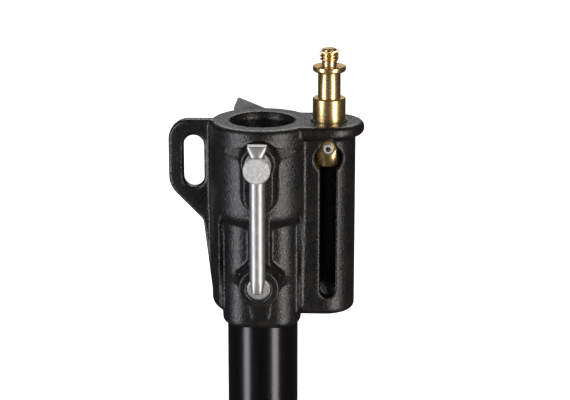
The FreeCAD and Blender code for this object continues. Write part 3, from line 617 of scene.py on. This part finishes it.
# Sections from its upper end: (distance down from it, half width, half depth, squareness)
BAR_TOP = (
    (0, 4.2, 1.8, 5),
    (0.1, 4.6, 2.2, 6),
    (0.4, 4.75, 2.4, 6),
    (2.2, 4.4, 2.9, 4),
    (4.1, 3.9, 3.5, 2.6),
    (5.2, 3.7, 3.7, 2),
)
# Sections down to its lower end: (distance up from it, half width, half depth, squareness)
BAR_BOTTOM = (
    (6.6, 3.7, 3.7, 2),
    (5.0, 3.5, 3.9, 2.3),
    (2.6, 3.0, 4.15, 3),
    (0.5, 2.7, 4.4, 4),
    (0.1, 2.5, 4.2, 4),
    (0, 2.1, 3.8, 4),
)
BAR_STEPS = 96
BAR_CREASE = 50


def pressed_bar():
    """The sliding bar, round along its length and pressed flat at its two ends."""
    sections = [(bar_high_mm - down, *size) for down, *size in BAR_TOP]
    sections += [(bar_low_mm + up, *size) for up, *size in BAR_BOTTOM]
    rings = [squircle(height, wide, deep, power) for height, wide, deep, power in sections]
    ends = [(0, 0, bar_high_mm), (0, 0, bar_low_mm)]
    made = skinned("pressed_bar", rings, ends, Matrix.Translation((0, bar_y_mm, 0)))
    crease(made, BAR_CREASE)
    return made


def squircle(height, wide, deep, power):
    """A ring between an ellipse, at power 2, and a rounded box, at higher powers."""
    ring = []
    for step in range(BAR_STEPS):
        angle = 2 * math.pi * step / BAR_STEPS
        across, along = math.cos(angle), math.sin(angle)
        length = (abs(across) ** power + abs(along) ** power) ** (-1 / power)
        ring.append((wide * across * length, deep * along * length, height))
    return ring


# The knob

# The voxel of its distance field, and the radii in its inner corners and on its outer edges
KNOB_VOXEL = 0.3
KNOB_FILLET = 1.0
KNOB_EDGE = 0.7


def moulded_knob():
    """The wing knob with the soft edges of a moulding."""
    made = rounded("lock_knob", KNOB_VOXEL, KNOB_FILLET, KNOB_EDGE)
    made.name = made.data.name = "moulded_knob"
    return made


# Stage

WHITE = (1, 1, 1, 1)
FLOOR_COLOUR = (0.8, 0.8, 0.8, 1)
FLOOR_HALF = 6.0
FLOOR_GAP = 0.0005
# What the camera sees of the floor on top of its matt shade
FLOOR_GLOW = 0.85

# The world's strength for the camera, for lighting and for mirrored rays
WORLD_SEEN = 1.0
WORLD_FILL = 0.16
WORLD_MIRRORED = 0.04

# The camera's azimuth and elevation in degrees, its distance to its target, and its focal length in
# pixels of a frame that is 570 wide and 400 high
CAMERA_AZIMUTH = 2.76
CAMERA_ELEVATION = 16.37
CAMERA_DISTANCE = 0.932
CAMERA_TARGET = (0.01111, 0, 0.12914)
FOCAL_PX = 1895.4
IMAGE_WIDTH_PX = 570
SENSOR_WIDTH_MM = 36.0

# Each softbox: its name, its azimuth from the camera's, its radiance and its colour
SOFTBOXES = (
    ("softbox_left", -54, 6.6, (0.94, 0.96, 1.0)),
    ("softbox_right", 41, 7.2, (1.0, 0.96, 0.92)),
)
SOFTBOX_WIDTH = 0.36
SOFTBOX_HEIGHT = 1.5
OVERHEAD_ELEVATION = 42
OVERHEAD_WIDTH = 0.9
OVERHEAD_HEIGHT = 0.5
OVERHEAD_RADIANCE = 3.2
OVERHEAD_COLOUR = (1, 1, 1)
LAMP_DISTANCE = 1.1
LAMP_AIM = (0, 0, 0.1)


def bare_tree(made):
    """The node tree of a material or a world, emptied."""
    made.use_nodes = True
    made.node_tree.nodes.clear()
    return made.node_tree


def glow(tree, kind, strength):
    """A white shader that gives light, an emission or a background."""
    return add(tree, kind, {"Color": WHITE, "Strength": strength}).outputs[0]


def mixed(tree, share, first, second):
    """A shader that is the first at a share of 0 and the second at 1."""
    mix = add(tree, "ShaderNodeMixShader")
    for socket, source in enumerate((share, first, second)):
        tree.links.new(source, mix.inputs[socket])
    return mix.outputs[0]


def pale_floor():
    """A matt floor just under the column's end, which looks nearly white to the camera."""
    corners = [(-1, -1), (1, -1), (1, 1), (-1, 1)]
    sheet = bpy.data.meshes.new("floor")
    sheet.from_pydata([(x * FLOOR_HALF, y * FLOOR_HALF, 0) for x, y in corners], [], [(0, 1, 2, 3)])
    floor = bpy.data.objects.new("floor", sheet)
    bpy.context.scene.collection.objects.link(floor)
    floor.location.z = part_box("column_tube")[0].z - FLOOR_GAP
    floor.visible_glossy = False
    floor.visible_shadow = False
    made = bpy.data.materials.new("floor_white")
    tree = bare_tree(made)
    path = add(tree, "ShaderNodeLightPath")
    unlit = glow(tree, "ShaderNodeEmission", 0.0)
    lit = glow(tree, "ShaderNodeEmission", FLOOR_GLOW)
    matt = add(tree, "ShaderNodeBsdfDiffuse", {"Color": FLOOR_COLOUR})
    total = add(tree, "ShaderNodeAddShader")
    out = add(tree, "ShaderNodeOutputMaterial")
    tree.links.new(matt.outputs[0], total.inputs[0])
    tree.links.new(mixed(tree, path.outputs["Is Camera Ray"], unlit, lit), total.inputs[1])
    tree.links.new(total.outputs[0], out.inputs["Surface"])
    floor.data.materials.append(made)


def world():
    """White to the camera, dim as a light and nearly dark in what mirrors it."""
    made = bpy.data.worlds.new("white_studio")
    bpy.context.scene.world = made
    tree = bare_tree(made)
    path = add(tree, "ShaderNodeLightPath")
    seen = glow(tree, "ShaderNodeBackground", WORLD_SEEN)
    fill = glow(tree, "ShaderNodeBackground", WORLD_FILL)
    mirrored = glow(tree, "ShaderNodeBackground", WORLD_MIRRORED)
    out = add(tree, "ShaderNodeOutputWorld")
    unseen = mixed(tree, path.outputs["Is Glossy Ray"], fill, mirrored)
    whole = mixed(tree, path.outputs["Is Camera Ray"], unseen, seen)
    tree.links.new(whole, out.inputs["Surface"])


def softbox(name, azimuth, radiance, colour):
    """A tall soft light that stands level with the object."""
    angle = math.radians(azimuth)
    towards = Vector((math.sin(angle), -math.cos(angle), 0))
    panel(name, towards, SOFTBOX_WIDTH, SOFTBOX_HEIGHT, radiance, colour)


def overhead():
    """The wide soft light above and behind, which the top faces mirror."""
    rise = math.radians(OVERHEAD_ELEVATION)
    towards = Vector((0, math.cos(rise), math.sin(rise)))
    panel("overhead", towards, OVERHEAD_WIDTH, OVERHEAD_HEIGHT, OVERHEAD_RADIANCE, OVERHEAD_COLOUR)


def panel(name, towards, width, height, radiance, colour):
    """A rectangular lamp at a direction from the object, facing it."""
    lamp = bpy.data.lights.new(name, "AREA")
    lamp.shape = "RECTANGLE"
    lamp.size, lamp.size_y = width, height
    lamp.energy = radiance * math.pi * width * height
    lamp.color = colour
    thing = bpy.data.objects.new(name, lamp)
    bpy.context.scene.collection.objects.link(thing)
    thing.location = towards * LAMP_DISTANCE + Vector(LAMP_AIM)
    face(thing, -towards)
    thing.visible_camera = False


def face(thing, direction):
    """Turns a lamp or a camera to look along a direction."""
    thing.rotation_mode = "QUATERNION"
    thing.rotation_quaternion = direction.to_track_quat("-Z", "Y")


def camera():
    """The photograph's view."""
    lens = bpy.data.cameras.new("camera")
    lens.sensor_width = SENSOR_WIDTH_MM
    lens.lens = FOCAL_PX / IMAGE_WIDTH_PX * lens.sensor_width
    eye = bpy.data.objects.new("camera", lens)
    bpy.context.scene.collection.objects.link(eye)
    turn, rise = math.radians(CAMERA_AZIMUTH), math.radians(CAMERA_ELEVATION)
    level = math.cos(rise)
    back = Vector((math.sin(turn) * level, -math.cos(turn) * level, math.sin(rise)))
    eye.location = Vector(CAMERA_TARGET) + back * CAMERA_DISTANCE
    face(eye, -back)
    bpy.context.scene.camera = eye


bpy.context.scene.view_settings.view_transform = "Standard"
pale_floor()
world()
for name, turn, radiance, colour in SOFTBOXES:
    softbox(name, CAMERA_AZIMUTH + turn, radiance, colour)
overhead()
camera()

# The pieces and their finishes

ZINC_NODES = (
    "column_bolt",
    "bolt_washer_front",
    "bolt_washer_back",
    "column_nut",
    "clamp_pad_ring",
    "lock_pad_ring",
    "lock_screw",
)
PAD_BRASS_NODES = ("stud_pin_sleeve", "clamp_pad", "clamp_insert", "lock_pad", "lock_insert")

head = casting()
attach(head, "head")
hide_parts("head_casting")
dress(cast_paint(), head, NODES["head_casting"])
dress(tube_paint(), NODES["column_tube"])

plastic = knob_plastic()
knob = moulded_knob()
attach(knob, "knob_body")
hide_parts("lock_knob")
dress(plastic, knob, NODES["lock_knob"], NODES["lock_knob_cap"], NODES["column_plug"])

zinc = bright_steel("zinc", ZINC_COLOURS, ZINC_ROUGHNESS, 0.5)
dress(zinc, *[NODES[name] for name in ZINC_NODES])

nickel = bright_steel("nickel", NICKEL_COLOURS, NICKEL_ROUGHNESS, 0.3, DRAWN_BAR)
bar = pressed_bar()
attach(bar, "bar_body")
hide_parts("tommy_bar")
dress(nickel, bar, NODES["tommy_bar"])

blasted = bright_steel("blasted_steel", BLASTED_COLOURS, BLASTED_ROUGHNESS, 0.4)
dress(blasted, NODES["clamp_screw"], NODES["stud_pin"])

stud = threaded_stud()
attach(stud, "stud_body")
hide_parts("stud")
dress(turned_brass("brass", BRASS_ROUGHNESS), stud, NODES["stud"])

pad_brass = turned_brass("pad_brass", PAD_BRASS_ROUGHNESS)
dress(pad_brass, *[NODES[name] for name in PAD_BRASS_NODES])
